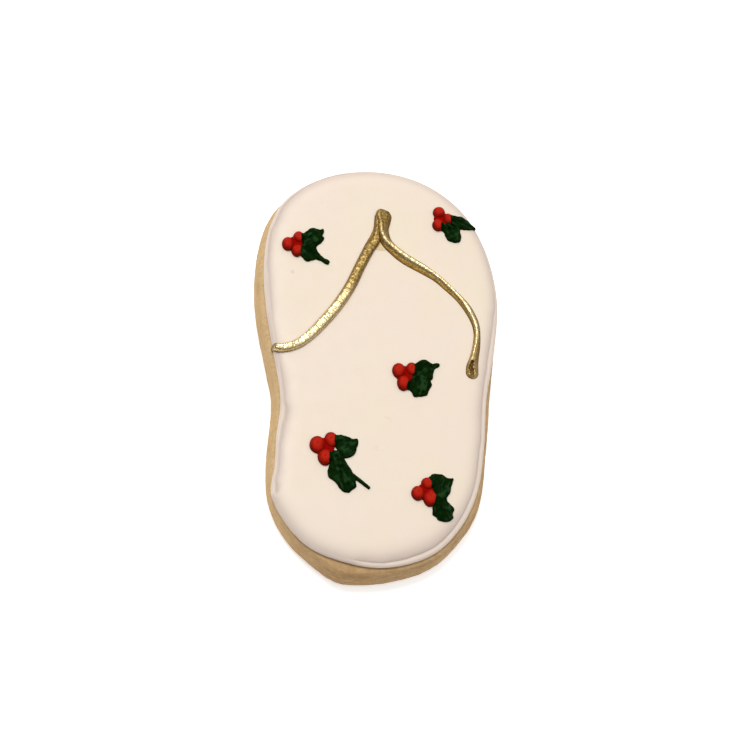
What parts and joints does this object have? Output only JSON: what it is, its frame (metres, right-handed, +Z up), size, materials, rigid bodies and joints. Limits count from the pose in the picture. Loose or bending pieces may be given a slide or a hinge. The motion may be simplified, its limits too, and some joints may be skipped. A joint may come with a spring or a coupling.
{
  "type": "iced sugar cookie",
  "caption": "Sandal-shaped sugar cookie with cream icing, a piped rim, piped gold straps and piped sprigs of holly with red berries.",
  "frame": {"origin": "centre of the box's underside, on the surface that the cookie lies on", "axes": "+Y towards the toe, +Z up out of the iced face, +X to the right seen from above with the toe away"},
  "size_m": [0.0618, 0.1091, 0.0099],
  "materials": {
    "biscuit": "matte baked dough, pale golden with a fine grain",
    "icing": "satin cream royal icing",
    "gold": "gold paint on piped icing, slightly brushed",
    "berry": "satin red icing",
    "leaf": "satin dark green icing"
  },
  "bodies": {
    "root": {"biscuit": "biscuit", "icing": "icing", "strap_left": "gold", "strap_right": "gold", "berry_upper_left_1": "berry", "berry_upper_left_2": "berry", "berry_upper_left_3": "berry", "leaf_upper_left_1": "leaf", "leaf_upper_left_2": "leaf", "berry_upper_right_1": "berry", "berry_upper_right_2": "berry", "berry_upper_right_3": "berry", "leaf_upper_right_1": "leaf", "leaf_upper_right_2": "leaf", "berry_middle_1": "berry", "berry_middle_2": "berry", "berry_middle_3": "berry", "leaf_middle_1": "leaf", "leaf_middle_2": "leaf", "berry_lower_left_1": "berry", "berry_lower_left_2": "berry", "berry_lower_left_3": "berry", "leaf_lower_left_1": "leaf", "leaf_lower_left_2": "leaf", "berry_lower_right_1": "berry", "berry_lower_right_2": "berry", "berry_lower_right_3": "berry", "leaf_lower_right_1": "leaf", "leaf_lower_right_2": "leaf"}
  },
  "joints": []
}
